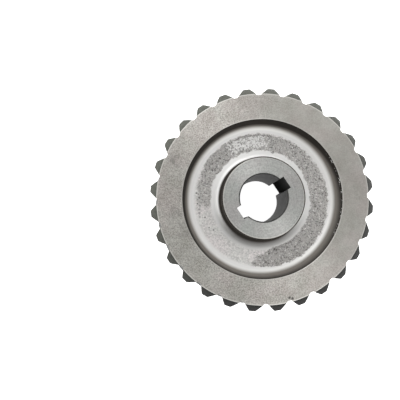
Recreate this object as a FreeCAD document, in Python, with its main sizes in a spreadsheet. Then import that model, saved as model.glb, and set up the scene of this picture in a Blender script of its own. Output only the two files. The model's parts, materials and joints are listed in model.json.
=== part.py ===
import FreeCAD, Part
import math
import os

import Sketcher
from FreeCAD import Placement, Rotation, Vector

# A cast and machined worm wheel in one piece. The document's frame has the wheel lying on the lower
# end of its hub: the origin is the bore's centre on that face and +Z is the bore's axis. The body's
# own frame has its origin half way up, in the plane of the worm's axis.

doc = FreeCAD.newDocument("worm_wheel")

# Driving dimensions, in millimetres and degrees
SIZES = {
    # teeth: the axial module, and the worm that they are cut for
    "teeth": 28,
    "tooth_module": 5.5,
    "worm_starts": 2,
    "worm_pitch_diameter": 46,
    "pressure_angle": 20,
    "root_clearance": 1.1,
    # rim: the wall under the tooth roots, and how far the tooth ends stand above the throat. They are
    # turned down on the lower side, and both sides have a chamfer of one slope.
    "rim_width": 45,
    "rim_thickness": 8.4,
    "tip_rise": 4.5,
    "lower_tip_drop": 2.8,
    "tooth_end_chamfer_width": 5.5,
    "tooth_end_chamfer_height": 6,
    # web, dished on both sides
    "web_thickness": 17,
    "recess_draft": 14,
    "recess_fillet": 6,
    # hub
    "hub_diameter": 63,
    "hub_rise": 9.5,
    "hub_fillet": 5,
    "hub_edge_break": 0.8,
    "bore_diameter": 36,
    "bore_chamfer": 1,
    "keyway_width": 10,
    "keyway_depth": 3.3,
    "keyway_bearing": 36,
}

sizes = doc.addObject("Spreadsheet::Sheet", "Sizes")
for row, (alias, value) in enumerate(SIZES.items(), start=1):
    sizes.set(f"A{row}", alias)
    sizes.set(f"B{row}", str(value))
    sizes.setAlias(f"B{row}", alias)
doc.recompute()


def value_of(expression):
    """What an expression in the sheet's terms comes to, worked out in a spare cell."""
    sizes.set("D1", "=" + expression.replace("Sizes.", ""))
    sizes.recompute()
    value = float(sizes.get("D1"))
    sizes.clear("D1")
    return value


# Heights and radii that several features share, in the sheet's terms
HUB_END = "(Sizes.rim_width / 2 + Sizes.hub_rise)"
RIM_FACE = "(Sizes.rim_width / 2)"
WEB_FACE = "(Sizes.web_thickness / 2)"
HUB_RADIUS = "(Sizes.hub_diameter / 2)"
PITCH_RADIUS = "(Sizes.teeth * Sizes.tooth_module / 2)"
CENTRE_DISTANCE = f"({PITCH_RADIUS} + Sizes.worm_pitch_diameter / 2)"
THROAT_RADIUS = "(Sizes.worm_pitch_diameter / 2 - Sizes.tooth_module)"
UPPER_TIP = f"({PITCH_RADIUS} + Sizes.tooth_module + Sizes.tip_rise)"
LOWER_TIP = f"({UPPER_TIP} - Sizes.lower_tip_drop)"
TOOTH_END = f"({UPPER_TIP} - Sizes.tooth_end_chamfer_width)"
ROOT_RADIUS = f"({PITCH_RADIUS} - Sizes.tooth_module - Sizes.root_clearance)"
RECESS_RADIUS = f"({ROOT_RADIUS} - Sizes.rim_thickness)"

body = doc.addObject("PartDesign::Body", "worm_wheel")
body.Label = "worm_wheel"
body.setExpression("Placement.Base.z", HUB_END)


def new_sketch(name, role):
    """A sketch on one of the body's origin planes."""
    sketch = body.newObject("Sketcher::SketchObject", name)
    plane = next(feature for feature in body.Origin.OriginFeatures if feature.Role == role)
    sketch.AttachmentSupport = [(plane, "")]
    sketch.MapMode = "FlatFace"
    return sketch


def dimension(sketch, expression, *constraint):
    """Add a dimension to a sketch and bind it to the sheet."""
    index = sketch.addConstraint(Sketcher.Constraint(*constraint, value_of(expression)))
    sketch.setExpression(f"Constraints[{index}]", expression)


def polyline(sketch, points):
    """Add lines from point to point, joined end to start."""
    lines = [sketch.addGeometry(Part.LineSegment(*ends)) for ends in zip(points, points[1:])]
    for line, following in zip(lines, lines[1:]):
        sketch.addConstraint(Sketcher.Constraint("Coincident", line, END, following, START))
    return lines


START, END = 1, 2
ORIGIN_POINT = (-1, 1)
MIDDLE_LINE = -1

# Rounded stretches of the cross-section are runs of chords, with their corners on the arc
FILLET_CHORD_COUNT = 3
THROAT_CHORD_COUNT = 4


def arc_corners(centre, height, radius, first, last, chords):
    """Corners on an arc about a centre at this radius and height, between two angles in degrees."""
    corners = []
    for step in range(chords + 1):
        angle = f"(({first}) + (({last}) - ({first})) * {step} / {chords}) * 1 deg"
        corners.append((f"{centre} + {radius} * cos({angle})", f"{height} + {radius} * sin({angle})"))
    return corners


def throat_reach(tip):
    """The angle about the worm's axis, from the throat's bottom out to this tip radius."""
    return f"acos(({CENTRE_DISTANCE} - {tip}) / {THROAT_RADIUS}) / 1 deg"


def chamfer_foot(tip):
    """The height at which the chamfer on the tooth ends meets this tip radius."""
    slope = "Sizes.tooth_end_chamfer_height / Sizes.tooth_end_chamfer_width"
    return f"{RIM_FACE} - ({tip} - {TOOTH_END}) * {slope}"


# The wheel's cross-section in the body's frame. From the bore to the tooth ends the lower half mirrors
# the upper one. The throat runs about the worm's axis.
wall_depth = f"({RIM_FACE} - {WEB_FACE} - Sizes.recess_fillet)"
recess_wall = f"({RECESS_RADIUS} - {wall_depth} * tan(Sizes.recess_draft * 1 deg))"
recess_fillet_centre = f"{recess_wall} - Sizes.recess_fillet / cos(Sizes.recess_draft * 1 deg)"
mirrored = [
    ("Sizes.bore_diameter / 2", HUB_END),
    (HUB_RADIUS, HUB_END),
    *arc_corners(f"{HUB_RADIUS} + Sizes.hub_fillet", f"{WEB_FACE} + Sizes.hub_fillet",
                 "Sizes.hub_fillet", "180", "270", FILLET_CHORD_COUNT),
    *arc_corners(recess_fillet_centre, f"{WEB_FACE} + Sizes.recess_fillet",
                 "Sizes.recess_fillet", "270", "360 - Sizes.recess_draft", FILLET_CHORD_COUNT),
    (RECESS_RADIUS, RIM_FACE),
    (TOOTH_END, RIM_FACE),
]
tooth_tips = [
    (UPPER_TIP, chamfer_foot(UPPER_TIP)),
    *arc_corners(CENTRE_DISTANCE, "0", THROAT_RADIUS, f"180 - {throat_reach(UPPER_TIP)}",
                 f"180 + {throat_reach(LOWER_TIP)}", THROAT_CHORD_COUNT),
    (LOWER_TIP, f"-({chamfer_foot(LOWER_TIP)})"),
]
outline = mirrored + tooth_tips + [(radius, f"-({height})") for radius, height in reversed(mirrored)]

section = new_sketch("wheel_section", "XZ_Plane")
corners = [Vector(value_of(radius), value_of(height), 0) for radius, height in outline]
sides = polyline(section, corners + corners[:1])
section.addConstraint(Sketcher.Constraint("Coincident", sides[-1], END, sides[0], START))
for number, (radius, height) in enumerate(outline[:len(mirrored) + len(tooth_tips)]):
    dimension(section, radius, "DistanceX", *ORIGIN_POINT, sides[number], START)
    dimension(section, height, "DistanceY", *ORIGIN_POINT, sides[number], START)
for upper, lower in zip(sides[:len(mirrored)], reversed(sides)):
    section.addConstraint(Sketcher.Constraint("Symmetric", upper, START, lower, START, MIDDLE_LINE))

blank = body.newObject("PartDesign::Revolution", "wheel_blank")
blank.Profile = section
blank.ReferenceAxis = (section, ["V_Axis"])
blank.Angle = 360
doc.recompute()


def hub_end_edges(pick):
    """The circular edges at both ends of the hub, by the pick of their radii."""
    rings = {}
    for number, edge in enumerate(body.Tip.Shape.Edges, start=1):
        curve = edge.Curve
        if isinstance(curve, Part.Circle) and math.isclose(abs(curve.Center.z), hub_end, abs_tol=1e-4):
            rings.setdefault(round(curve.Radius, 4), []).append(f"Edge{number}")
    return rings[pick(rings)]


def chamfer(name, edges, alias):
    """Cut a chamfer of the size with this alias along some edges."""
    base = body.Tip
    feature = body.newObject("PartDesign::Chamfer", name)
    feature.Base = (base, edges)
    feature.setExpression("Size", f"Sizes.{alias}")
    doc.recompute()


hub_end = value_of(HUB_END)
chamfer("hub_edges", hub_end_edges(max), "hub_edge_break")
chamfer("bore_chamfers", hub_end_edges(min), "bore_chamfer")

# Two keyways, opposite each other: one slot across the bore
keyways = new_sketch("keyway_section", "XY_Plane")
keyways.setExpression("AttachmentOffset.Rotation.Angle", "Sizes.keyway_bearing * 1 deg")
SLOT_LENGTH = "Sizes.bore_diameter + 2 * Sizes.keyway_depth"
SLOT_WIDTH = "Sizes.keyway_width"
half_slot = Vector(value_of(SLOT_LENGTH) / 2, value_of(SLOT_WIDTH) / 2, 0)
signs = [(-1, -1), (1, -1), (1, 1), (-1, 1), (-1, -1)]
slot = polyline(keyways, [Vector(x * half_slot.x, y * half_slot.y, 0) for x, y in signs])
keyways.addConstraint(Sketcher.Constraint("Coincident", slot[3], END, slot[0], START))
for number, side in enumerate(slot):
    keyways.addConstraint(Sketcher.Constraint("Vertical" if number % 2 else "Horizontal", side))
keyways.addConstraint(Sketcher.Constraint("Symmetric", slot[0], START, slot[2], START, *ORIGIN_POINT))
dimension(keyways, SLOT_LENGTH, "DistanceX", slot[0], START, slot[0], END)
dimension(keyways, SLOT_WIDTH, "DistanceY", slot[1], START, slot[1], END)
keyway_cut = body.newObject("PartDesign::Pocket", "keyways")
keyway_cut.Profile = keyways
keyway_cut.Type = "ThroughAll"
keyway_cut.SideType = "Symmetric"
doc.recompute()

# The tooth gap is what a cutter shaped like the worm, but deeper by the root clearance, sweeps out as
# it rolls with the wheel. In a level plane the worm's thread is a rack. The gap's flank at each radius
# is the furthest bearing that the rack's flank reaches in any roll position. Straight lines join the
# corners of one level's outline and those of the next.
module = value_of("Sizes.tooth_module")
pitch_radius = value_of(PITCH_RADIUS)
tip_radius = value_of(UPPER_TIP)
worm_radius = value_of("Sizes.worm_pitch_diameter / 2")
centre_distance = value_of(CENTRE_DISTANCE)
throat_radius = value_of(THROAT_RADIUS)
cutter_radius = value_of(f"{CENTRE_DISTANCE} - {ROOT_RADIUS}")
advance_per_radian = value_of("Sizes.worm_starts * Sizes.tooth_module / 2")
flank_slope = value_of("tan(Sizes.pressure_angle * 1 deg)")
ROLL_STEPS = 60
FLANK_CORNERS = 3
GAP_SECTIONS = 7
OVERRUN = 1
CUTTER_SHARE = 0.95


def root_radius(height):
    """How deep the gap goes at this height from the middle."""
    return centre_distance - math.sqrt(cutter_radius**2 - height**2)


def blank_radius(height):
    """How far out the tooth tips reach at this height from the middle."""
    return min(tip_radius, centre_distance - math.sqrt(max(0, throat_radius**2 - height**2)))


def rack_flank(depth, height, side):
    """Where the thread's flank lies along the worm, at a depth from its axis towards the wheel's."""
    reach = math.hypot(depth, height)
    half_thread = math.pi * module / 4 - (reach - worm_radius) * flank_slope
    return advance_per_radian * math.atan2(height, depth) + side * half_thread


def flank_bearing(radius, height, side):
    """The furthest bearing, in radians, that the rolling rack's flank reaches at this radius."""
    limit = math.acos(min(1, root_radius(height) / radius))
    bearings = []
    for step in range(-ROLL_STEPS, ROLL_STEPS + 1):
        roll = limit * step / ROLL_STEPS
        flank = rack_flank(centre_distance - radius * math.cos(roll), height, side)
        bearings.append(roll + (flank - radius * math.sin(roll)) / pitch_radius)
    return max(bearings) if side > 0 else min(bearings)


def flank_corner(radius, height, side):
    bearing = flank_bearing(radius, height, side)
    return Vector(radius * math.cos(bearing), radius * math.sin(bearing), 0)


def gap_section(number, height):
    """The tooth gap's outline in the level plane at this height from the middle."""
    sketch = new_sketch(f"gap_section_{number}", "XY_Plane")
    sketch.AttachmentOffset = Placement(Vector(0, 0, height), Rotation())
    root = root_radius(height)
    reach = blank_radius(height) + module - root
    radii = [root + reach * step / (FLANK_CORNERS - 1) for step in range(FLANK_CORNERS)]
    near, far = ([flank_corner(radius, height, side) for radius in radii] for side in (-1, 1))
    points = near[::-1] + far
    polyline(sketch, points + points[:1])
    return sketch


rim_face = value_of(RIM_FACE)
gap_height = min(rim_face + OVERRUN, CUTTER_SHARE * cutter_radius)
gap_sections = [
    gap_section(number, gap_height * (2 * number / (GAP_SECTIONS - 1) - 1))
    for number in range(GAP_SECTIONS)
]
gap = body.newObject("PartDesign::SubtractiveLoft", "tooth_gap")
gap.Profile = gap_sections[0]
gap.Sections = gap_sections[1:]
gap.Ruled = True
doc.recompute()

teeth = body.newObject("PartDesign::PolarPattern", "tooth_gaps")
teeth.Originals = [gap]
teeth.Axis = (gap_sections[0], ["N_Axis"])
teeth.Angle = 360
teeth.setExpression("Occurrences", "Sizes.teeth")
body.Tip = teeth
doc.recompute()

for feature in doc.Objects:
    if "Invalid" in feature.State or "Error" in feature.State:
        raise RuntimeError(f"{feature.Name}: {feature.State}")
if body.Shape.isNull() or not body.Shape.isValid() or len(body.Shape.Solids) != 1:
    raise RuntimeError("worm_wheel is not one valid solid")

os.makedirs("parts", exist_ok=True)
body.Shape.exportStep("parts/worm_wheel.step")
print("worm_wheel", body.Shape.BoundBox, "volume", body.Shape.Volume)
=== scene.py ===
import json
import math

import bmesh
import bpy
from bpy.props import FloatProperty, FloatVectorProperty, IntProperty, PointerProperty
from mathutils import Matrix, Vector


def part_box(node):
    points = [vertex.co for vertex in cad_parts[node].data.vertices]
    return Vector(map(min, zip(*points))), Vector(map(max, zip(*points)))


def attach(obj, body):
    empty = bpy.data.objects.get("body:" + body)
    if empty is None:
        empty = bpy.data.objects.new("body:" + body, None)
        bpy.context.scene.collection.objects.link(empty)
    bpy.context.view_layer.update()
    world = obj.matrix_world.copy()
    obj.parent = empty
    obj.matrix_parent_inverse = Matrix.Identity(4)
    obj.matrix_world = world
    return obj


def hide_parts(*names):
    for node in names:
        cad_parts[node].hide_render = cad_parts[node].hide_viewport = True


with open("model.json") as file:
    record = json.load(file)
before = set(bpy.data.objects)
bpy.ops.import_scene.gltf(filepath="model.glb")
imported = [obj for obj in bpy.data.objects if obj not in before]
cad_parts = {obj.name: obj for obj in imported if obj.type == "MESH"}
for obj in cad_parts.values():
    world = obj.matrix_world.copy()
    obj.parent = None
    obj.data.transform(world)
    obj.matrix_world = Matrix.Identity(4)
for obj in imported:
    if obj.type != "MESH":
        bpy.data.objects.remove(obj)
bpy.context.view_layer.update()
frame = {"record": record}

bl_info = {
    "name": "Worm wheel",
    "version": (1, 0, 0),
    "blender": (4, 5, 0),
    "location": "3D View > Sidebar > Worm wheel",
    "description": "A cast and machined worm wheel, lying on a pale floor",
    "category": "Object",
}

WHEEL = "worm_wheel"
LOW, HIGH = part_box(WHEEL)
MOUNTS = {mount["name"]: mount for mount in frame["record"]["mounts"]}
MIDDLE_HEIGHT = (LOW.z + HIGH.z) / 2
MILLIMETRE = 0.001
TOUCHING = 0.001 * MILLIMETRE

# Facets of the turned and cut surfaces
FILLET_SEGMENTS = 10
EDGE_SEGMENTS = 3
THROAT_STEPS = 24
GAP_LEVELS = 15
GAP_POINTS = 8
ROLL_STEPS = 48

# How much closer together a gap's points lie near its root: 1 is evenly
ROOT_CROWDING = 1.6
# Share of the cutter's radius up to which its section can be followed
CUTTER_SHARE = 0.95

# The wheel's finishes, in the order of its material slots
FACE, WEB, FLANK, TOOTH_END, BORE = range(5)
# Cosines between a face's normal and the wheel's axis: a level face has at least LEVEL, the walls
# of the bore and the keyways have less than END_FACE, the rim faces and their edges over RIM_EDGE
LEVEL, END_FACE, RIM_EDGE = 0.9999, 0.95, 0.35
# How far sideways the normal of a turned tooth end may point
SIDEWAYS = 0.02
# Edges that turn by more than this stay crisp
CRISP_ANGLE = math.radians(24)

# Turn of the gleam from the lathe marks' direction, in full turns
GLEAM_TURN = 0.25
# A cool and a warm tone that cloud the iron's colour
COOL, WARM = (0.985, 1.0, 0.98), (1.02, 0.99, 0.99)

# Marks on the upper side: bearing in degrees, distance from the bore's axis, and reach, in metres
RIM_SMUDGES = ((200, 0.0640, 0.0070), (191, 0.0675, 0.0070), (158, 0.0745, 0.0080), (205, 0.0660, 0.0060))
RIM_NICKS = ((286.8, 0.0786, 0.0014), (288.3, 0.0797, 0.0015))
WEB_PITS = (
    (176.3, 0.0513, 0.0010), (180.3, 0.0488, 0.0012), (185.8, 0.0503, 0.0010),
    (199.7, 0.0464, 0.0010), (287.3, 0.0407, 0.0012), (210.4, 0.0466, 0.0008), (214.8, 0.0446, 0.0008),
)
WEB_STREAK = ((191.2, 0.0495, 0.0013), (194.4, 0.0499, 0.0013), (198.0, 0.0503, 0.0012))

# Where the as-cast band's borders bulge: bearing and reach to each side in degrees, and how far
# the outer and the inner border move outwards, in metres
BAND_BULGES = (
    (55.0, 41.0, -0.0013, 0.0),
    (120.0, 41.0, -0.0006, 0.0),
    (180.0, 40.0, -0.0025, 0.0008),
    (258.0, 26.0, 0.0, 0.0060),
    (318.0, 41.0, 0.0011, 0.0),
)


class WheelSizes(bpy.types.PropertyGroup):
    """Sizes of the wheel's blank, its tooth gaps and its keyways"""

    outer_diameter: FloatProperty(
        name="Outer diameter", description="Across the tooth tips",
        default=0.1746, unit="LENGTH",
    )
    lower_tip_drop: FloatProperty(
        name="Lower tip drop", description="How much smaller in radius the tooth tips are on the lower side",
        default=0.0028, unit="LENGTH",
    )
    tooth_chamfer_width: FloatProperty(
        name="Tooth chamfer width", description="Width of the turned chamfer on the tooth ends",
        default=0.0055, unit="LENGTH",
    )
    tooth_chamfer_height: FloatProperty(
        name="Tooth chamfer height", description="Height of the turned chamfer on the tooth ends",
        default=0.006, unit="LENGTH",
    )
    rim_width: FloatProperty(
        name="Rim width", description="From one rim face to the other",
        default=0.045, unit="LENGTH",
    )
    recess_diameter: FloatProperty(
        name="Recess diameter", description="Across the web's recess, at the rim face",
        default=0.124, unit="LENGTH",
    )
    recess_draft: FloatProperty(
        name="Recess draft", description="Lean of the recess wall",
        default=math.radians(14), unit="ROTATION",
    )
    recess_fillet: FloatProperty(
        name="Recess fillet", description="Radius where the recess wall meets the web",
        default=0.006, unit="LENGTH",
    )
    web_thickness: FloatProperty(
        name="Web thickness", description="Between the floors of the two recesses",
        default=0.017, unit="LENGTH",
    )
    hub_diameter: FloatProperty(
        name="Hub diameter", description="Across the hub's turned wall",
        default=0.063, unit="LENGTH",
    )
    hub_fillet: FloatProperty(
        name="Hub fillet", description="Radius where the hub meets the web",
        default=0.005, unit="LENGTH",
    )
    bore_diameter: FloatProperty(
        name="Bore diameter", description="Across the bore",
        default=2 * MOUNTS["bore"]["dims"]["r_mm"] * MILLIMETRE, unit="LENGTH",
    )
    bore_chamfer: FloatProperty(
        name="Bore chamfer", description="Chamfer at both ends of the bore",
        default=0.001, unit="LENGTH",
    )
    keyway_width: FloatProperty(
        name="Keyway width", description="Width of both keyways",
        default=0.010, unit="LENGTH",
    )
    keyway_depth: FloatProperty(
        name="Keyway depth", description="Depth of the keyways under the bore's wall",
        default=0.0033, unit="LENGTH",
    )
    keyway_bearing: FloatProperty(
        name="Keyway bearing", description="Bearing of the first keyway from +X",
        default=math.radians(36), unit="ROTATION",
    )
    edge_break: FloatProperty(
        name="Edge break", description="Width of the light break on turned edges",
        default=0.0005, unit="LENGTH",
    )
    teeth: IntProperty(
        name="Teeth", description="Number of teeth round the rim",
        default=28, min=8,
    )
    tooth_module: FloatProperty(
        name="Module", description="Axial module of the teeth",
        default=0.0055, unit="LENGTH",
    )
    hob_starts: IntProperty(
        name="Hob starts", description="Number of threads on the hob that cuts the teeth",
        default=2, min=1,
    )
    hob_pitch_diameter: FloatProperty(
        name="Hob pitch diameter", description="Pitch diameter of the hob that cuts the teeth",
        default=0.046, unit="LENGTH",
    )
    pressure_angle: FloatProperty(
        name="Pressure angle", description="Flank angle of the hob's thread in its axial section",
        default=math.radians(20), unit="ROTATION",
    )
    root_clearance: FloatProperty(
        name="Root clearance", description="Depth of the gaps beyond one module under the pitch circle",
        default=0.0011, unit="LENGTH",
    )
    flank_allowance: FloatProperty(
        name="Flank allowance", description="Metal that is left on each flank, beside a full thread's cut",
        default=0.0006, unit="LENGTH",
    )
    steps_per_tooth: IntProperty(
        name="Steps per tooth", description="Facets of the turned surfaces for each tooth",
        default=16, min=4,
    )


class WheelFinish(bpy.types.PropertyGroup):
    """Colours of the wheel with its painted light and shade, and the bearings of its wear and of its painted
    light and shade
    """

    face_colour: FloatVectorProperty(
        name="Turned faces", description="Rim and hub faces",
        default=(0.375, 0.362, 0.34), subtype="COLOR", size=3,
    )
    even_bearing: FloatProperty(
        name="Even bearing", description="Side of the wheel on which the rim face has the least grain",
        default=math.radians(20), unit="ROTATION",
    )
    hub_colour: FloatVectorProperty(
        name="Hub faces", description="Turned end faces of the hub",
        default=(0.378, 0.382, 0.37), subtype="COLOR", size=3,
    )
    # Painted highlight: the thin bright lines on the edges of the rim, the recess and the hub
    edge_highlight_colour: FloatVectorProperty(
        name="Edges", description="Thin bright edges round the rim, the recess and the hub",
        default=(0.52, 0.51, 0.48), subtype="COLOR", size=3,
    )
    web_colour: FloatVectorProperty(
        name="Turned web", description="Floor of the web, where the lathe has cleaned it",
        default=(0.70, 0.69, 0.68), subtype="COLOR", size=3,
    )
    # Painted highlights: reflections of the lamps in the turned rings beside the as-cast band, and glints in
    # the cast skin and on the nicks of the recess wall
    highlight_colour: FloatVectorProperty(
        name="Bright rings", description="Turned rings on both sides of the as-cast band, flecks and nicks",
        default=(0.87, 0.865, 0.85), subtype="COLOR", size=3,
    )
    # Painted highlight: a bright line at the start of the fillet under the recess wall
    fillet_highlight_colour: FloatVectorProperty(
        name="Fillet", description="Start of the rounding under the recess wall",
        default=(0.95, 0.945, 0.92), subtype="COLOR", size=3,
    )
    # Painted shadow at the foot of the hub, on one side; the same dark colour makes the streak on the floor
    # of the web
    shadow_and_streak_colour: FloatVectorProperty(
        name="Stain", description="Old oil at the foot of the hub, and a streak on the floor of the web",
        default=(0.095, 0.09, 0.085), subtype="COLOR", size=3,
    )
    # Painted shadow: side of the hub on which the shadow at its foot is painted
    hub_shadow_bearing: FloatProperty(
        name="Stain bearing", description="Side of the hub on which old oil has gathered",
        default=math.radians(268), unit="ROTATION",
    )
    cast_colour: FloatVectorProperty(
        name="Cast skin", description="Band of the web that is left as cast",
        default=(0.52, 0.505, 0.49), subtype="COLOR", size=3,
    )
    pit_colour: FloatVectorProperty(
        name="Pits", description="Bottoms of the pits in the cast skin",
        default=(0.16, 0.157, 0.148), subtype="COLOR", size=3,
    )
    # Dark as-cast skin of the recess wall, with painted shade on the hub's turned wall; the same colour
    # paints the dark reflection line on the hub's edge
    wall_and_shade_colour: FloatVectorProperty(
        name="Recess wall", description="Dark wall of the recess and of the hub, and dirt on the hub's edge",
        default=(0.045, 0.040, 0.035), subtype="COLOR", size=3,
    )
    # Painted dark reflection: bearing of the middle of the thin dark line on the hub's edge chamfer
    dark_reflection_bearing: FloatProperty(
        name="Dirt line bearing", description="Middle of the thin dark line of dirt on the hub's edge",
        default=math.radians(32), unit="ROTATION",
    )
    # Nicks near the recess wall's edge, with painted glints on them: the side on which they lie
    glinting_nick_bearing: FloatProperty(
        name="Nicked bearing", description="Side on which the recess wall has bright nicks near its edge",
        default=math.radians(0), unit="ROTATION",
    )
    # Painted reflection: side on which the recess wall is painted paler, low down
    lit_wall_bearing: FloatProperty(
        name="Worn wall bearing", description="Side on which the recess wall is rubbed paler",
        default=math.radians(290), unit="ROTATION",
    )
    lit_wall_colour: FloatVectorProperty(
        name="Worn recess wall", description="Recess wall where it is rubbed paler",
        default=(0.36, 0.335, 0.305), subtype="COLOR", size=3,
    )
    flank_colour: FloatVectorProperty(
        name="Tooth flanks", description="Hobbed flanks and roots of the teeth",
        default=(0.06, 0.06, 0.056), subtype="COLOR", size=3,
    )
    # Tooth ends on the side where the painted light falls
    tooth_end_colour: FloatVectorProperty(
        name="Tooth ends", description="Turned ends of the teeth, where they are clean",
        default=(0.095, 0.098, 0.084), subtype="COLOR", size=3,
    )
    # Painted shade: tooth ends on the side away from the light
    shaded_end_colour: FloatVectorProperty(
        name="Dark tooth ends", description="Turned ends of the teeth, where they are oily",
        default=(0.012, 0.012, 0.011), subtype="COLOR", size=3,
    )
    # Painted light: side of the wheel on which the tooth ends are painted lightest
    lit_end_bearing: FloatProperty(
        name="Clean tooth ends", description="Side of the wheel with the cleanest tooth ends",
        default=math.radians(122), unit="ROTATION",
    )
    bore_colour: FloatVectorProperty(
        name="Bore", description="Bored wall",
        default=(0.036, 0.036, 0.035), subtype="COLOR", size=3,
    )
    keyway_colour: FloatVectorProperty(
        name="Keyways", description="Walls of the keyways",
        default=(0.06, 0.06, 0.058), subtype="COLOR", size=3,
    )
    # Painted glints: side of the as-cast band with the most of them
    glint_bearing: FloatProperty(
        name="Shiny bearing", description="Side of the as-cast band with the most bright flecks",
        default=math.radians(104), unit="ROTATION",
    )
    cast_inner_radius: FloatProperty(
        name="Cast band, inner radius", description="Where the as-cast band begins",
        default=0.0395, unit="LENGTH",
    )
    cast_outer_radius: FloatProperty(
        name="Cast band, outer radius", description="Where the as-cast band ends",
        default=0.0532, unit="LENGTH",
    )
    clean_bearing: FloatProperty(
        name="Clean bearing", description="Middle of the sector that the lathe has cleaned of cast skin",
        default=math.radians(227), unit="ROTATION",
    )
    clean_sweep: FloatProperty(
        name="Clean sweep", description="Half width of the cleaned sector",
        default=math.radians(37), unit="ROTATION",
    )


class StageLook(bpy.types.PropertyGroup):
    """Camera, lamps and floor"""

    camera_position: FloatVectorProperty(
        name="Camera position", description="Where the camera stands",
        default=(-0.0493, -0.0282, 0.5077), subtype="TRANSLATION", size=3,
    )
    camera_turn: FloatVectorProperty(
        name="Camera turn", description="Euler turn of the camera from straight down",
        default=(math.radians(3.2), math.radians(-0.25), math.radians(1.95)),
        subtype="EULER", size=3,
    )
    lens: FloatProperty(
        name="Lens", description="Focal length of the camera, in millimetres",
        default=53.0, unit="CAMERA",
    )
    sensor_width: FloatProperty(
        name="Sensor width", description="Width of the camera's sensor, in millimetres",
        default=36.0, unit="CAMERA",
    )
    world_strength: FloatProperty(
        name="World strength", description="Brightness of the surroundings",
        default=0.7, min=0.0, subtype="FACTOR",
    )
    lamp_power: FloatProperty(
        name="Lamp power", description="Power of the brightest softbox",
        default=4.0, unit="POWER",
    )
    softbox_shares: FloatVectorProperty(
        name="Softbox shares", description="Each softbox's share of the lamp power, going round the wheel",
        default=(0.5, 1.0, 0.4, 0.3, 0.8, 0.2), size=6, min=0.0, subtype="NONE",
    )
    first_softbox: FloatProperty(
        name="First softbox", description="Bearing of the first softbox; the others follow in even steps",
        default=math.radians(60), unit="ROTATION",
    )
    softbox_rise: FloatProperty(
        name="Softbox rise", description="How high the softboxes stand, as an angle over the floor",
        default=math.radians(45), unit="ROTATION",
    )
    softbox_distance: FloatProperty(
        name="Softbox distance", description="From the wheel to each softbox",
        default=1.1, unit="LENGTH",
    )
    softbox_size: FloatProperty(
        name="Softbox size", description="Length of each softbox's side",
        default=0.7, unit="LENGTH",
    )
    floor_reach: FloatProperty(
        name="Floor reach", description="From the middle of the floor to each of its edges",
        default=3.0, unit="LENGTH",
    )
    floor_colour: FloatVectorProperty(
        name="Floor", description="Colour of the floor",
        default=(0.9, 0.9, 0.9), subtype="COLOR", size=3,
    )
    floor_glow: FloatProperty(
        name="Floor glow", description="Light that the floor adds for the camera and in reflections",
        default=1.0, min=0.0, subtype="FACTOR",
    )


def wheel_sizes():
    """The wheel's sizes, as the sidebar sets them."""
    return bpy.context.scene.worm_wheel_sizes


def wheel_finish():
    """The wheel's colours and bearings of wear, as the sidebar sets them."""
    return bpy.context.scene.worm_wheel_finish


def stage_look():
    """The camera, lamps and floor, as the sidebar sets them."""
    return bpy.context.scene.worm_wheel_stage


def link_object(name, data):
    """Make an object of a mesh, lamp or camera and put it in the scene."""
    thing = bpy.data.objects.new(name, data)
    bpy.context.scene.collection.objects.link(thing)
    return thing


def link_mesh(name, bm):
    """Make an object of a bmesh and free the bmesh."""
    mesh = bpy.data.meshes.new(name)
    bm.to_mesh(mesh)
    bm.free()
    return link_object(name, mesh)


def ring_edges(bm, radius, height):
    """The edges that lie on the level circle of this radius and height."""
    def on_ring(vert):
        return (abs(math.hypot(vert.co.x, vert.co.y) - radius) < 10 * TOUCHING
                and abs(vert.co.z - height) < 10 * TOUCHING)
    return [edge for edge in bm.edges if on_ring(edge.verts[0]) and on_ring(edge.verts[1])]


def round_ring(bm, radius, height, offset, segments):
    """Round the edges on a level circle, or chamfer them where there is one segment."""
    bmesh.ops.bevel(
        bm, geom=ring_edges(bm, radius, height), offset=offset, offset_type="OFFSET",
        segments=segments, profile=0.5, affect="EDGES", material=-1, clamp_overlap=False,
    )


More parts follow.
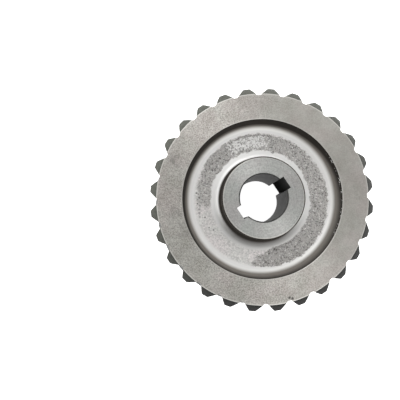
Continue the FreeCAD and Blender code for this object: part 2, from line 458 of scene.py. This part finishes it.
class GapForm:
    """The gap that the hob leaves as it rolls with the wheel, level by level."""

    def __init__(self, sizes):
        self.module = sizes.tooth_module
        self.pitch_radius = sizes.teeth * sizes.tooth_module / 2
        self.hob_radius = sizes.hob_pitch_diameter / 2
        self.centre_distance = self.pitch_radius + self.hob_radius
        self.throat_radius = self.hob_radius - self.module
        self.cutter_radius = self.hob_radius + self.module + sizes.root_clearance
        self.advance = sizes.hob_starts * self.module / 2
        self.slope = math.tan(sizes.pressure_angle)
        self.allowance = sizes.flank_allowance
        self.outer_radius = sizes.outer_diameter / 2
        self.tooth_end_radius = self.outer_radius - sizes.tooth_chamfer_width

    def root_radius(self, level):
        """Radius of the gap's root at a level."""
        return self.centre_distance - math.sqrt(self.cutter_radius**2 - level**2)

    def rack_flank(self, depth, level, side):
        """Where the thread's flank lies along the hob, at a depth from its axis."""
        reach = math.hypot(depth, level)
        half_thread = math.pi * self.module / 4 - (reach - self.hob_radius) * self.slope - self.allowance
        return self.advance * math.atan2(level, depth) + side * half_thread

    def flank_bearing(self, radius, level, side):
        """The furthest bearing that the rolling thread's flank reaches at this radius."""
        limit = math.acos(min(1.0, self.root_radius(level) / radius))
        bearings = []
        for step in range(-ROLL_STEPS, ROLL_STEPS + 1):
            roll = limit * step / ROLL_STEPS
            flank = self.rack_flank(self.centre_distance - radius * math.cos(roll), level, side)
            bearings.append(roll + (flank - radius * math.sin(roll)) / self.pitch_radius)
        return max(bearings) if side > 0 else min(bearings)

    def outline(self, level):
        """The gap's corners in a level plane, from the outer end of one flank to that of the other."""
        root = self.root_radius(level)
        reach = self.outer_radius + self.module - root
        radii = [root + reach * (step / (GAP_POINTS - 1)) ** ROOT_CROWDING for step in range(GAP_POINTS)]
        sides = []
        for side in (-1, 1):
            bearings = [self.flank_bearing(radius, level, side) for radius in radii]
            sides.append([
                Vector((radius * math.cos(bearing), radius * math.sin(bearing), level + MIDDLE_HEIGHT))
                for radius, bearing in zip(radii, bearings)
            ])
        return sides[0][::-1] + sides[1]


def throat_curve(form, upper_tip, lower_tip):
    """The hollow of the tooth tips in the blank's section, from the upper tip to the lower one."""
    start = math.acos((form.centre_distance - upper_tip) / form.throat_radius)
    end = -math.acos((form.centre_distance - lower_tip) / form.throat_radius)
    turns = [start + (end - start) * step / THROAT_STEPS for step in range(THROAT_STEPS + 1)]
    return [
        (form.centre_distance - form.throat_radius * math.cos(turn), form.throat_radius * math.sin(turn))
        for turn in turns
    ]


def turned_blank(sizes, form):
    """The wheel before its teeth are cut: its section is spun and its edges are rounded."""
    rim = sizes.rim_width / 2
    web = sizes.web_thickness / 2
    hub_end = HIGH.z - MIDDLE_HEIGHT
    bore = sizes.bore_diameter / 2
    hub = sizes.hub_diameter / 2
    recess = sizes.recess_diameter / 2
    recess_foot = recess - (rim - web) * math.tan(sizes.recess_draft)
    tooth_end = form.tooth_end_radius
    upper_tip = form.outer_radius
    lower_tip = upper_tip - sizes.lower_tip_drop
    chamfer_slope = sizes.tooth_chamfer_height / sizes.tooth_chamfer_width
    half = [(bore, hub_end), (hub, hub_end), (hub, web), (recess_foot, web), (recess, rim), (tooth_end, rim)]
    section = [
        *half,
        (upper_tip, rim - sizes.tooth_chamfer_height),
        *throat_curve(form, upper_tip, lower_tip),
        (lower_tip, (lower_tip - tooth_end) * chamfer_slope - rim),
        *[(radius, -height) for radius, height in reversed(half)],
    ]

    bm = bmesh.new()
    verts = [bm.verts.new((radius, 0, height + MIDDLE_HEIGHT)) for radius, height in section]
    edges = [bm.edges.new(pair) for pair in zip(verts, verts[1:] + verts[:1])]
    bmesh.ops.spin(
        bm, geom=verts + edges, cent=(0, 0, 0), axis=(0, 0, 1), dvec=(0, 0, 0),
        angle=2 * math.pi, steps=sizes.teeth * sizes.steps_per_tooth, use_merge=True,
    )
    bmesh.ops.remove_doubles(bm, verts=bm.verts, dist=TOUCHING)
    bmesh.ops.recalc_face_normals(bm, faces=bm.faces)
    recess_offset = sizes.recess_fillet * math.tan((math.pi / 2 - sizes.recess_draft) / 2)
    rounds = (
        (recess_foot, web, recess_offset, FILLET_SEGMENTS),
        (hub, web, sizes.hub_fillet, FILLET_SEGMENTS),
        (recess, rim, sizes.edge_break, EDGE_SEGMENTS),
        (hub, hub_end, sizes.edge_break, EDGE_SEGMENTS),
        (bore, hub_end, sizes.bore_chamfer, 1),
        (tooth_end, rim, sizes.edge_break / 2, 2),
    )
    for side in (-1, 1):
        for radius, height, offset, segments in rounds:
            round_ring(bm, radius, MIDDLE_HEIGHT + side * height, offset, segments)
    return link_mesh("wheel_casting", bm)


def gap_cutter(sizes, form):
    """One solid for each tooth gap, and a slot across the bore for the two keyways."""
    half_height = min(sizes.rim_width / 2 + MILLIMETRE, CUTTER_SHARE * form.cutter_radius)
    levels = [half_height * (2 * step / (GAP_LEVELS - 1) - 1) for step in range(GAP_LEVELS)]
    bm = bmesh.new()
    bottom = face = bm.faces.new([bm.verts.new(point) for point in form.outline(levels[0])])
    for level in levels[1:]:
        grown = bmesh.ops.extrude_face_region(bm, geom=[face])
        if face is not bottom:
            bmesh.ops.delete(bm, geom=[face], context="FACES_ONLY")
        face = next(item for item in grown["geom"] if isinstance(item, bmesh.types.BMFace))
        for vert, point in zip(face.verts, form.outline(level)):
            vert.co = point
    gap = bm.verts[:] + bm.edges[:] + bm.faces[:]
    bmesh.ops.spin(
        bm, geom=gap, cent=(0, 0, 0), axis=(0, 0, 1), dvec=(0, 0, 0), use_duplicate=True,
        angle=2 * math.pi * (sizes.teeth - 1) / sizes.teeth, steps=sizes.teeth - 1,
    )
    slot = bmesh.ops.create_cube(bm, size=1.0)["verts"]
    slot_length = sizes.bore_diameter + 2 * sizes.keyway_depth
    slot_height = 1.2 * HIGH.z
    bmesh.ops.scale(bm, verts=slot, vec=(slot_length, sizes.keyway_width, slot_height))
    bmesh.ops.rotate(
        bm, verts=slot, cent=(0, 0, 0), matrix=Matrix.Rotation(sizes.keyway_bearing, 3, "Z"),
    )
    bmesh.ops.translate(bm, verts=slot, vec=(0, 0, MIDDLE_HEIGHT))
    bmesh.ops.recalc_face_normals(bm, faces=bm.faces)
    return link_mesh("gap_cutter", bm)


def cut_away(piece, cutter):
    """Take the cutter's solids out of the piece, for good."""
    cut = piece.modifiers.new("cut", "BOOLEAN")
    cut.operation = "DIFFERENCE"
    cut.solver = "EXACT"
    cut.object = cutter
    bpy.context.view_layer.update()
    evaluated = piece.evaluated_get(bpy.context.evaluated_depsgraph_get())
    mesh = bpy.data.meshes.new_from_object(evaluated)
    piece.modifiers.clear()
    piece.data = mesh
    mesh.name = piece.name
    bpy.data.objects.remove(cutter)


def finish_of_face(centre, normal, sizes, form):
    """Which of the wheel's finishes a face of the casting has, by where it lies."""
    radius = math.hypot(centre.x, centre.y)
    bore_reach = sizes.bore_diameter / 2 + sizes.keyway_depth + 0.5 * MILLIMETRE
    if radius < bore_reach and abs(normal.z) < END_FACE:
        return BORE
    if radius < sizes.hub_diameter / 2 - 2 * sizes.edge_break:
        return FACE
    if radius < sizes.recess_diameter / 2 - 0.2 * MILLIMETRE:
        return WEB
    rim_start = sizes.rim_width / 2 - 2 * sizes.edge_break
    on_rim = radius < form.tooth_end_radius + 0.1 * MILLIMETRE and abs(centre.z - MIDDLE_HEIGHT) > rim_start
    towards_end = normal.z if centre.z > MIDDLE_HEIGHT else -normal.z
    if on_rim and towards_end > RIM_EDGE:
        return FACE
    outward = normal.x * centre.x + normal.y * centre.y
    sideways = abs(normal.x * centre.y - normal.y * centre.x) / radius
    if outward > 0 and sideways < SIDEWAYS:
        return TOOTH_END
    return FLANK


def dress_faces(piece, sizes, form):
    """Give each face its finish, and shade it smooth up to the turned and cut edges."""
    bm = bmesh.new()
    bm.from_mesh(piece.data)
    bmesh.ops.remove_doubles(bm, verts=bm.verts, dist=2 * TOUCHING)
    bm.normal_update()
    for face in bm.faces:
        face.smooth = abs(face.normal.z) < LEVEL
        face.material_index = finish_of_face(face.calc_center_median(), face.normal, sizes, form)
    for edge in bm.edges:
        edge.smooth = edge.is_manifold and edge.calc_face_angle() < CRISP_ANGLE
    bm.to_mesh(piece.data)
    bm.free()


def rgba(colour):
    """A colour with full alpha."""
    return (*colour, 1.0)


def shade(colour, factor):
    """A colour made darker or lighter by a factor."""
    return tuple(channel * factor for channel in colour)


class Nodes:
    """Shorthand for the node tree of a material or a world."""

    def __init__(self, owner, output_kind):
        owner.use_nodes = True
        self.owner = owner
        self.tree = owner.node_tree
        self.tree.nodes.clear()
        self.output = self.node(output_kind)

    def node(self, kind, inputs=(), **settings):
        """Add a node, set its settings, and fill or link its inputs."""
        node = self.tree.nodes.new(kind)
        for name, value in settings.items():
            setattr(node, name, value)
        for key, value in dict(inputs).items():
            if isinstance(value, bpy.types.NodeSocket):
                self.tree.links.new(value, node.inputs[key])
            else:
                node.inputs[key].default_value = value
        return node

    def maths(self, operation, *values):
        """The result of an operation on values or sockets."""
        return self.node("ShaderNodeMath", dict(enumerate(values)), operation=operation).outputs[0]

    def all_of(self, mask, *others):
        """1 where all of these masks are 1."""
        for other in others:
            mask = self.maths("MULTIPLY", mask, other)
        return mask

    def ramp_between(self, value, low, high):
        """0 at low, 1 at high, smooth between."""
        inputs = {"Value": value, "From Min": low, "From Max": high}
        return self.node("ShaderNodeMapRange", inputs, interpolation_type="SMOOTHSTEP").outputs["Result"]

    def mix_colour(self, factor, first, second, blend="MIX"):
        """The first colour where the factor is 0, and the second where it is 1."""
        inputs = {0: factor, 6: first, 7: second}
        return self.node("ShaderNodeMix", inputs, data_type="RGBA", blend_type=blend).outputs[2]

    def toned(self, colour, mask, first, second):
        """The colour times the first tone where the mask is 0, and the second where it is 1."""
        tone = self.mix_colour(mask, rgba(first), rgba(second))
        return self.mix_colour(1.0, colour, tone, "MULTIPLY")

    def bump(self, height, distance, strength):
        """The normal of a surface with this relief."""
        inputs = {"Height": height, "Distance": distance, "Strength": strength}
        return self.node("ShaderNodeBump", inputs).outputs["Normal"]

    def put_out(self, kind, inputs):
        """Add the shader that the tree puts out."""
        self.tree.links.new(self.node(kind, inputs).outputs[0], self.output.inputs["Surface"])


class WheelNodes(Nodes):
    """Node tree of one of the wheel's materials, with the place on the wheel that it colours."""

    def __init__(self, name):
        super().__init__(bpy.data.materials.new(name), "ShaderNodeOutputMaterial")
        self.position = self.node("ShaderNodeTexCoord").outputs["Object"]
        parts = self.node("ShaderNodeSeparateXYZ", {"Vector": self.position}).outputs
        self.x, self.y, self.z = parts["X"], parts["Y"], parts["Z"]
        squares = [self.maths("MULTIPLY", part, part) for part in (self.x, self.y)]
        self.radius = self.maths("SQRT", self.maths("ADD", *squares))
        self.height = self.maths("ABSOLUTE", self.maths("SUBTRACT", self.z, MIDDLE_HEIGHT))

    def facing(self, bearing):
        """Cosine of the angle between a place's bearing on the wheel and this one."""
        along = self.maths("MULTIPLY", self.x, math.cos(bearing))
        across = self.maths("MULTIPLY", self.y, math.sin(bearing))
        return self.maths("DIVIDE", self.maths("ADD", along, across), self.radius)

    def side(self, bearing, start, full):
        """1 on the side of the wheel at this bearing: both limits are cosines from it."""
        return self.ramp_between(self.facing(bearing), start, full)

    def circle(self, radius, reach, full):
        """1 on a circle round the bore, and 0 from this reach away from it on."""
        distance = self.maths("ABSOLUTE", self.maths("SUBTRACT", self.radius, radius))
        return self.ramp_between(distance, reach, full)

    def noise(self, scale, detail=2.0, roughness=0.5):
        """Random clouding all over the wheel."""
        inputs = {"Vector": self.position, "Scale": scale, "Detail": detail, "Roughness": roughness}
        return self.node("ShaderNodeTexNoise", inputs).outputs["Fac"]

    def lathe_rings(self, scale, detail):
        """Random rings round the bore, as a lathe leaves them."""
        inputs = {"W": self.radius, "Scale": scale, "Detail": detail}
        return self.node("ShaderNodeTexNoise", inputs, noise_dimensions="1D").outputs["Fac"]

    def tinted(self, colour, scale, spread):
        """A colour with a fine grain and a faint warm and cool clouding."""
        grain = self.ramp_between(self.noise(scale, detail=3.0, roughness=0.7), 0.3, 0.7)
        tone = self.mix_colour(grain, rgba(shade(colour, 1 - spread)), rgba(shade(colour, 1 + spread)))
        cloud = self.ramp_between(self.noise(scale=45.0, detail=3.0, roughness=0.6), 0.35, 0.65)
        return self.toned(tone, cloud, COOL, WARM)

    def marks(self, marks):
        """1 on the marks of a list, on the wheel's upper side, and 0 elsewhere."""
        level = {0: self.position, 1: (1.0, 1.0, 0.0)}
        flat = self.node("ShaderNodeVectorMath", level, operation="MULTIPLY").outputs[0]
        total = 0.0
        for bearing, reach, size in marks:
            turn = math.radians(bearing)
            place = (reach * math.cos(turn), reach * math.sin(turn), 0.0)
            distance = self.node("ShaderNodeVectorMath", {0: flat, 1: place}, operation="DISTANCE")
            mark = self.ramp_between(distance.outputs["Value"], size, 0.3 * size)
            total = self.maths("MAXIMUM", total, mark)
        return self.all_of(total, self.ramp_between(self.z, MIDDLE_HEIGHT, MIDDLE_HEIGHT + MILLIMETRE))

    def iron(self, inputs):
        """Finish the material as iron with these inputs."""
        self.put_out("ShaderNodeBsdfPrincipled", inputs)
        return self.owner

    def turned_iron(self, colour, roughness, relief, gleam):
        """Finish the material as iron with lathe marks, which gleam across their direction."""
        round_the_bore = self.node("ShaderNodeTangent", direction_type="RADIAL", axis="Z").outputs[0]
        return self.iron({
            "Base Color": colour, "Metallic": 1.0, "Roughness": roughness, "Normal": relief,
            "Anisotropic": gleam, "Anisotropic Rotation": GLEAM_TURN, "Tangent": round_the_bore,
        })


def turned_face_material(finish, sizes, form):
    """Rim and hub faces: turned iron with faint mottling, fine lathe rings, painted highlights on their
    edges and a painted dark reflection on the hub's edge.
    """
    nodes = WheelNodes("turned_iron")
    hub = sizes.hub_diameter / 2
    grainy = nodes.tinted(finish.face_colour, scale=1050.0, spread=0.36)
    even = nodes.tinted(finish.face_colour, scale=1050.0, spread=0.12)
    colour = nodes.mix_colour(nodes.side(finish.even_bearing, -0.2, 0.8), grainy, even)
    blotches = nodes.ramp_between(nodes.noise(scale=75.0, detail=4.0, roughness=0.6), 0.3, 0.7)
    colour = nodes.toned(colour, blotches, (0.90, 0.90, 0.89), (1.09, 1.09, 1.10))
    tool_marks = nodes.ramp_between(nodes.lathe_rings(scale=900.0, detail=2.0), 0.3, 0.7)
    hub_tone = nodes.tinted(finish.hub_colour, scale=800.0, spread=0.18)
    hub_tone = nodes.toned(hub_tone, tool_marks, (0.92, 0.92, 0.92), (1.07, 1.07, 1.08))
    colour = nodes.mix_colour(nodes.ramp_between(nodes.radius, hub + MILLIMETRE, hub), colour, hub_tone)
    frayed = nodes.ramp_between(nodes.noise(scale=240.0), 0.3, 0.9)
    smudges = nodes.all_of(nodes.marks(RIM_SMUDGES), frayed)
    colour = nodes.mix_colour(smudges, colour, rgba(shade(finish.face_colour, 0.5)))
    colour = nodes.mix_colour(nodes.marks(RIM_NICKS), colour, rgba(shade(finish.face_colour, 0.25)))
    # Painted highlights: thin bright lines on the edge breaks
    edge = sizes.edge_break
    for radius in (sizes.recess_diameter / 2, form.tooth_end_radius, hub - edge):
        edge_highlight = nodes.circle(radius, reach=1.4 * edge, full=0.6 * edge)
        colour = nodes.mix_colour(edge_highlight, colour, rgba(finish.edge_highlight_colour))
    # Painted dark reflection: a thin dark line on the hub's edge chamfer, on one side
    dark_reflection_line = nodes.all_of(
        nodes.circle(hub - 1.3 * edge, reach=0.5 * edge, full=0.25 * edge),
        nodes.side(finish.dark_reflection_bearing, -0.1, 0.5),
    )
    colour = nodes.mix_colour(dark_reflection_line, colour, rgba(finish.wall_and_shade_colour))
    fine_rings = nodes.lathe_rings(scale=2600.0, detail=3.0)
    relief = nodes.bump(fine_rings, distance=0.04 * MILLIMETRE, strength=0.2)
    return nodes.turned_iron(colour, roughness=0.42, relief=relief, gleam=0.8)


def cast_band(nodes, finish):
    """1 where the web is left as cast, 0 where it is turned, with a ragged border."""
    ragged = nodes.maths("SUBTRACT", nodes.noise(scale=260.0, detail=4.0, roughness=0.65), 0.5)
    outer = inner = nodes.maths("MULTIPLY_ADD", ragged, 7 * MILLIMETRE, nodes.radius)
    for bearing, reach, outer_shift, inner_shift in BAND_BULGES:
        bulge = nodes.side(math.radians(bearing), math.cos(math.radians(reach)), 1.0)
        outer = nodes.maths("MULTIPLY_ADD", bulge, -outer_shift, outer)
        inner = nodes.maths("MULTIPLY_ADD", bulge, -inner_shift, inner)
    blur = 0.7 * MILLIMETRE
    clean_edge = math.cos(finish.clean_sweep)
    frayed = nodes.maths("MULTIPLY_ADD", ragged, 0.25, nodes.facing(finish.clean_bearing))
    return nodes.all_of(
        nodes.ramp_between(inner, finish.cast_inner_radius - blur, finish.cast_inner_radius + blur),
        nodes.ramp_between(outer, finish.cast_outer_radius + blur, finish.cast_outer_radius - blur),
        nodes.ramp_between(frayed, clean_edge + 0.03, clean_edge - 0.03),
    )


def inside_band(nodes, finish, start, full):
    """1 within the as-cast band's two circles: both limits are distances in from each of them."""
    return nodes.all_of(
        nodes.ramp_between(nodes.radius, finish.cast_inner_radius + start, finish.cast_inner_radius + full),
        nodes.ramp_between(nodes.radius, finish.cast_outer_radius - start, finish.cast_outer_radius - full),
    )


def turned_floor(nodes, finish, sizes):
    """Colour of the turned floor: painted reflections beside both fillets and a painted highlight at the
    start of the outer fillet, with a few pits left in its middle.
    """
    web = sizes.web_thickness / 2
    hub = sizes.hub_diameter / 2
    middle = inside_band(nodes, finish, -1 * MILLIMETRE, 2 * MILLIMETRE)
    turned = nodes.tinted(finish.web_colour, scale=750.0, spread=0.22)
    # Painted reflection: bright turned rings beside both fillets
    colour = nodes.mix_colour(middle, rgba(finish.highlight_colour), turned)
    # Painted highlight at the start of the outer fillet
    fillet_highlight = nodes.all_of(
        nodes.ramp_between(nodes.height, web + 0.1 * MILLIMETRE, web + 0.5 * MILLIMETRE),
        nodes.ramp_between(nodes.radius, hub + 15 * MILLIMETRE, hub + 20 * MILLIMETRE),
    )
    colour = nodes.mix_colour(fillet_highlight, colour, rgba(finish.fillet_highlight_colour))
    specks = nodes.ramp_between(nodes.noise(scale=420.0, detail=3.0, roughness=0.6), 0.66, 0.70)
    return nodes.mix_colour(nodes.all_of(middle, specks), colour, rgba(finish.pit_colour))


def cast_skin(nodes, finish, pits):
    """Colour of the as-cast skin: dark in its pits, with painted glints, most of them on one side."""
    skin = nodes.mix_colour(
        nodes.ramp_between(pits, 0.36, 0.53), rgba(finish.pit_colour), rgba(finish.cast_colour),
    )
    # Painted glints, most of them on one side of the band
    glint_side = nodes.all_of(
        nodes.side(finish.glint_bearing, 0.9, 0.99),
        inside_band(nodes, finish, 1 * MILLIMETRE, 3.5 * MILLIMETRE),
    )
    glints = nodes.maths(
        "MULTIPLY_ADD", glint_side, 0.15, nodes.noise(scale=800.0, detail=3.0, roughness=0.75),
    )
    return nodes.mix_colour(nodes.ramp_between(glints, 0.575, 0.65), skin, rgba(finish.highlight_colour))


def marked_and_shaded_floor(nodes, finish, sizes, floor):
    """The floor's colour with its large pits, a streak, and a painted shadow at the foot of the hub."""
    hub = sizes.hub_diameter / 2
    floor = nodes.mix_colour(nodes.marks(WEB_PITS), floor, rgba(finish.pit_colour))
    streak = nodes.maths("MULTIPLY", nodes.marks(WEB_STREAK), 0.45)
    floor = nodes.mix_colour(streak, floor, rgba(finish.shadow_and_streak_colour))
    # Painted shadow at the foot of the hub, on one side
    hub_shadow = nodes.all_of(
        nodes.ramp_between(nodes.radius, hub + 10.5 * MILLIMETRE, hub + 1.5 * MILLIMETRE),
        nodes.side(finish.hub_shadow_bearing, 0.1, 0.95),
    )
    return nodes.mix_colour(hub_shadow, floor, rgba(finish.shadow_and_streak_colour))


def recess_wall(nodes, finish, sizes):
    """Where the walls of the recess and hub are, and their colour: dark, partly from their as-cast skin and
    partly painted shade, with a painted reflection that makes them paler low down on one side.
    """
    web = sizes.web_thickness / 2
    rim = sizes.rim_width / 2
    hub = sizes.hub_diameter / 2
    outer_wall = nodes.ramp_between(nodes.radius, hub + 10 * MILLIMETRE, hub + 15 * MILLIMETRE)
    foot = web + 0.3 * MILLIMETRE
    # Painted shade on the hub's turned wall
    hub_wall = nodes.all_of(
        nodes.ramp_between(nodes.height, foot, web + 1.4 * MILLIMETRE),
        nodes.maths("SUBTRACT", 1.0, outer_wall),
    )
    wall = nodes.maths(
        "MAXIMUM", nodes.ramp_between(nodes.height, foot, web + 3 * MILLIMETRE), hub_wall,
    )
    # Painted reflection: the recess wall is painted paler low down on one side
    lit_side = nodes.side(finish.lit_wall_bearing, -0.9, 0.9)
    lit_height = nodes.maths("MULTIPLY_ADD", lit_side, 10 * MILLIMETRE, web + 5.5 * MILLIMETRE)
    lit_wall = nodes.all_of(outer_wall, nodes.ramp_between(nodes.height, lit_height, web + MILLIMETRE))
    colour = nodes.mix_colour(lit_wall, rgba(finish.wall_and_shade_colour), rgba(finish.lit_wall_colour))
    # Nicks near the recess wall's edge, painted as bright glints
    glinting_nicks = nodes.all_of(
        outer_wall,
        nodes.ramp_between(nodes.noise(scale=650.0), 0.60, 0.66),
        nodes.side(finish.glinting_nick_bearing, 0.75, 0.9),
        nodes.ramp_between(nodes.height, rim - 4 * MILLIMETRE, rim - 2.5 * MILLIMETRE),
    )
    return wall, nodes.mix_colour(glinting_nicks, colour, rgba(finish.highlight_colour))


def web_material(finish, sizes):
    """Both recesses: turned floor with painted reflections and a painted highlight at the fillets, a rough
    as-cast band with painted glints, and dark walls with painted shade and a painted reflection.
    """
    nodes = WheelNodes("web_iron")
    cast = cast_band(nodes, finish)
    pits = nodes.noise(scale=700.0, detail=4.0, roughness=0.8)
    floor = nodes.mix_colour(cast, turned_floor(nodes, finish, sizes), cast_skin(nodes, finish, pits))
    floor = marked_and_shaded_floor(nodes, finish, sizes, floor)
    wall, wall_and_shade_colour = recess_wall(nodes, finish, sizes)
    roughness = nodes.maths("MULTIPLY_ADD", wall, 0.05, 0.55)
    pitted = nodes.all_of(nodes.maths("SUBTRACT", pits, 0.5), cast)
    relief = nodes.bump(pitted, distance=1.2 * MILLIMETRE, strength=0.8)
    return nodes.turned_iron(nodes.mix_colour(wall, floor, wall_and_shade_colour), roughness, relief, gleam=0.65)


def flank_material(finish):
    """The hobbed flanks and roots of the teeth."""
    nodes = WheelNodes("hobbed_iron")
    colour = nodes.tinted(finish.flank_colour, scale=500.0, spread=0.12)
    return nodes.iron({"Base Color": colour, "Metallic": 1.0, "Roughness": 0.4})


def bore_material(finish, sizes):
    """The bored wall, and the keyways under it, which have their own colour and no specular gloss."""
    nodes = WheelNodes("bored_iron")
    bore = sizes.bore_diameter / 2
    keyway = nodes.ramp_between(nodes.radius, bore + 0.1 * MILLIMETRE, bore + 0.3 * MILLIMETRE)
    wall = nodes.tinted(finish.bore_colour, scale=260.0, spread=0.5)
    return nodes.iron({
        "Base Color": nodes.mix_colour(keyway, wall, rgba(finish.keyway_colour)),
        "Metallic": 0.0, "Roughness": 0.6,
        "Specular IOR Level": nodes.maths("MULTIPLY_ADD", keyway, -0.3, 0.3),
    })


def tooth_end_material(finish):
    """The turned ends of the teeth, with painted light on one side of the wheel and painted shade on the
    other.
    """
    nodes = WheelNodes("tooth_end_iron")
    # Painted light and shade: tooth ends lighter on one side of the wheel, darker on the other
    lit = nodes.side(finish.lit_end_bearing, -0.9, 0.9)
    tone = nodes.mix_colour(lit, rgba(finish.shaded_end_colour), rgba(finish.tooth_end_colour))
    grain = nodes.ramp_between(nodes.noise(scale=500.0, detail=3.0, roughness=0.7), 0.3, 0.7)
    return nodes.iron({
        "Base Color": nodes.toned(tone, grain, (0.8, 0.8, 0.8), (1.2, 1.2, 1.2)),
        "Metallic": 0.6, "Roughness": 0.5, "Specular IOR Level": 0.3,
    })


class WHEEL_OT_make_casting(bpy.types.Operator):
    """Make the worm wheel: spin its blank, cut its teeth and keyways, and finish its surfaces"""

    bl_idname = "worm_wheel.make_casting"
    bl_label = "Make the wheel"

    def execute(self, context):
        sizes = wheel_sizes()
        finish = wheel_finish()
        form = GapForm(sizes)
        piece = turned_blank(sizes, form)
        cut_away(piece, gap_cutter(sizes, form))
        materials = {
            FACE: turned_face_material(finish, sizes, form),
            WEB: web_material(finish, sizes),
            FLANK: flank_material(finish),
            TOOTH_END: tooth_end_material(finish),
            BORE: bore_material(finish, sizes),
        }
        for zone in sorted(materials):
            piece.data.materials.append(materials[zone])
        dress_faces(piece, sizes, form)
        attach(piece, "root")
        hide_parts(WHEEL)
        return {"FINISHED"}


def floor_material(look):
    """Pale floor that shows white to the camera and in reflections, and keeps the shadow."""
    nodes = Nodes(bpy.data.materials.new("pale_floor"), "ShaderNodeOutputMaterial")
    path = nodes.node("ShaderNodeLightPath").outputs
    seen = nodes.maths("MAXIMUM", path["Is Camera Ray"], path["Is Glossy Ray"])
    seen = nodes.maths("MAXIMUM", seen, path["Is Transmission Ray"])
    nodes.put_out("ShaderNodeBsdfPrincipled", {
        "Base Color": rgba(look.floor_colour), "Roughness": 0.9,
        "Emission Color": (1.0, 1.0, 1.0, 1.0),
        "Emission Strength": nodes.maths("MULTIPLY", seen, look.floor_glow),
    })
    return nodes.owner


def lay_floor(look):
    """A wide floor under the wheel."""
    bm = bmesh.new()
    bmesh.ops.create_grid(bm, x_segments=1, y_segments=1, size=look.floor_reach)
    floor = link_mesh("floor", bm)
    floor.data.materials.append(floor_material(look))


def pale_world(look):
    """Pale surroundings, which are white where the camera sees them."""
    nodes = Nodes(bpy.data.worlds.new("pale_room"), "ShaderNodeOutputWorld")
    seen = nodes.node("ShaderNodeLightPath").outputs["Is Camera Ray"]
    nodes.put_out("ShaderNodeBackground", {
        "Color": (1.0, 1.0, 1.0, 1.0),
        "Strength": nodes.maths("MAXIMUM", seen, look.world_strength),
    })
    return nodes.owner


def add_softboxes(look):
    """Square lamps all round the wheel, which face it."""
    step = 2 * math.pi / len(look.softbox_shares)
    for number, share in enumerate(look.softbox_shares):
        name = f"softbox_{number}"
        lamp = bpy.data.lights.new(name, "AREA")
        lamp.shape = "SQUARE"
        lamp.size = look.softbox_size
        lamp.energy = look.lamp_power * share
        bearing = look.first_softbox + step * number
        level = math.cos(look.softbox_rise)
        place = look.softbox_distance * Vector((
            level * math.cos(bearing), level * math.sin(bearing), math.sin(look.softbox_rise),
        ))
        softbox = link_object(name, lamp)
        softbox.location = place
        softbox.rotation_euler = place.to_track_quat("Z", "Y").to_euler()


def add_camera(look):
    """The camera that looks down on the wheel."""
    camera = bpy.data.cameras.new("camera")
    camera.lens = look.lens
    camera.sensor_width = look.sensor_width
    viewer = link_object("camera", camera)
    viewer.location = look.camera_position
    viewer.rotation_euler = look.camera_turn
    return viewer


class WHEEL_OT_set_stage(bpy.types.Operator):
    """Lay the floor, set the lamps and stand the camera over the wheel"""

    bl_idname = "worm_wheel.set_stage"
    bl_label = "Set the stage"

    def execute(self, context):
        look = stage_look()
        scene = context.scene
        lay_floor(look)
        scene.world = pale_world(look)
        add_softboxes(look)
        scene.camera = add_camera(look)
        scene.view_settings.view_transform = "Standard"
        return {"FINISHED"}


class WHEEL_PT_sidebar(bpy.types.Panel):
    """Sizes, finish and stage of the worm wheel"""

    bl_idname = "WHEEL_PT_sidebar"
    bl_label = "Worm wheel"
    bl_space_type = "VIEW_3D"
    bl_region_type = "UI"
    bl_category = "Worm wheel"

    def draw(self, context):
        for group in (wheel_sizes(), wheel_finish(), stage_look()):
            box = self.layout.box()
            for name in group.__annotations__:
                box.prop(group, name)
        for operator in (WHEEL_OT_make_casting, WHEEL_OT_set_stage):
            self.layout.operator(operator.bl_idname)


CLASSES = (
    WheelSizes, WheelFinish, StageLook,
    WHEEL_OT_make_casting, WHEEL_OT_set_stage, WHEEL_PT_sidebar,
)


def register():
    for cls in CLASSES:
        bpy.utils.register_class(cls)
    bpy.types.Scene.worm_wheel_sizes = PointerProperty(type=WheelSizes)
    bpy.types.Scene.worm_wheel_finish = PointerProperty(type=WheelFinish)
    bpy.types.Scene.worm_wheel_stage = PointerProperty(type=StageLook)


def unregister():
    del bpy.types.Scene.worm_wheel_stage
    del bpy.types.Scene.worm_wheel_finish
    del bpy.types.Scene.worm_wheel_sizes
    for cls in reversed(CLASSES):
        bpy.utils.unregister_class(cls)


def main():
    register()
    bpy.ops.worm_wheel.make_casting()
    bpy.ops.worm_wheel.set_stage()


if __name__ == "__main__":
    main()
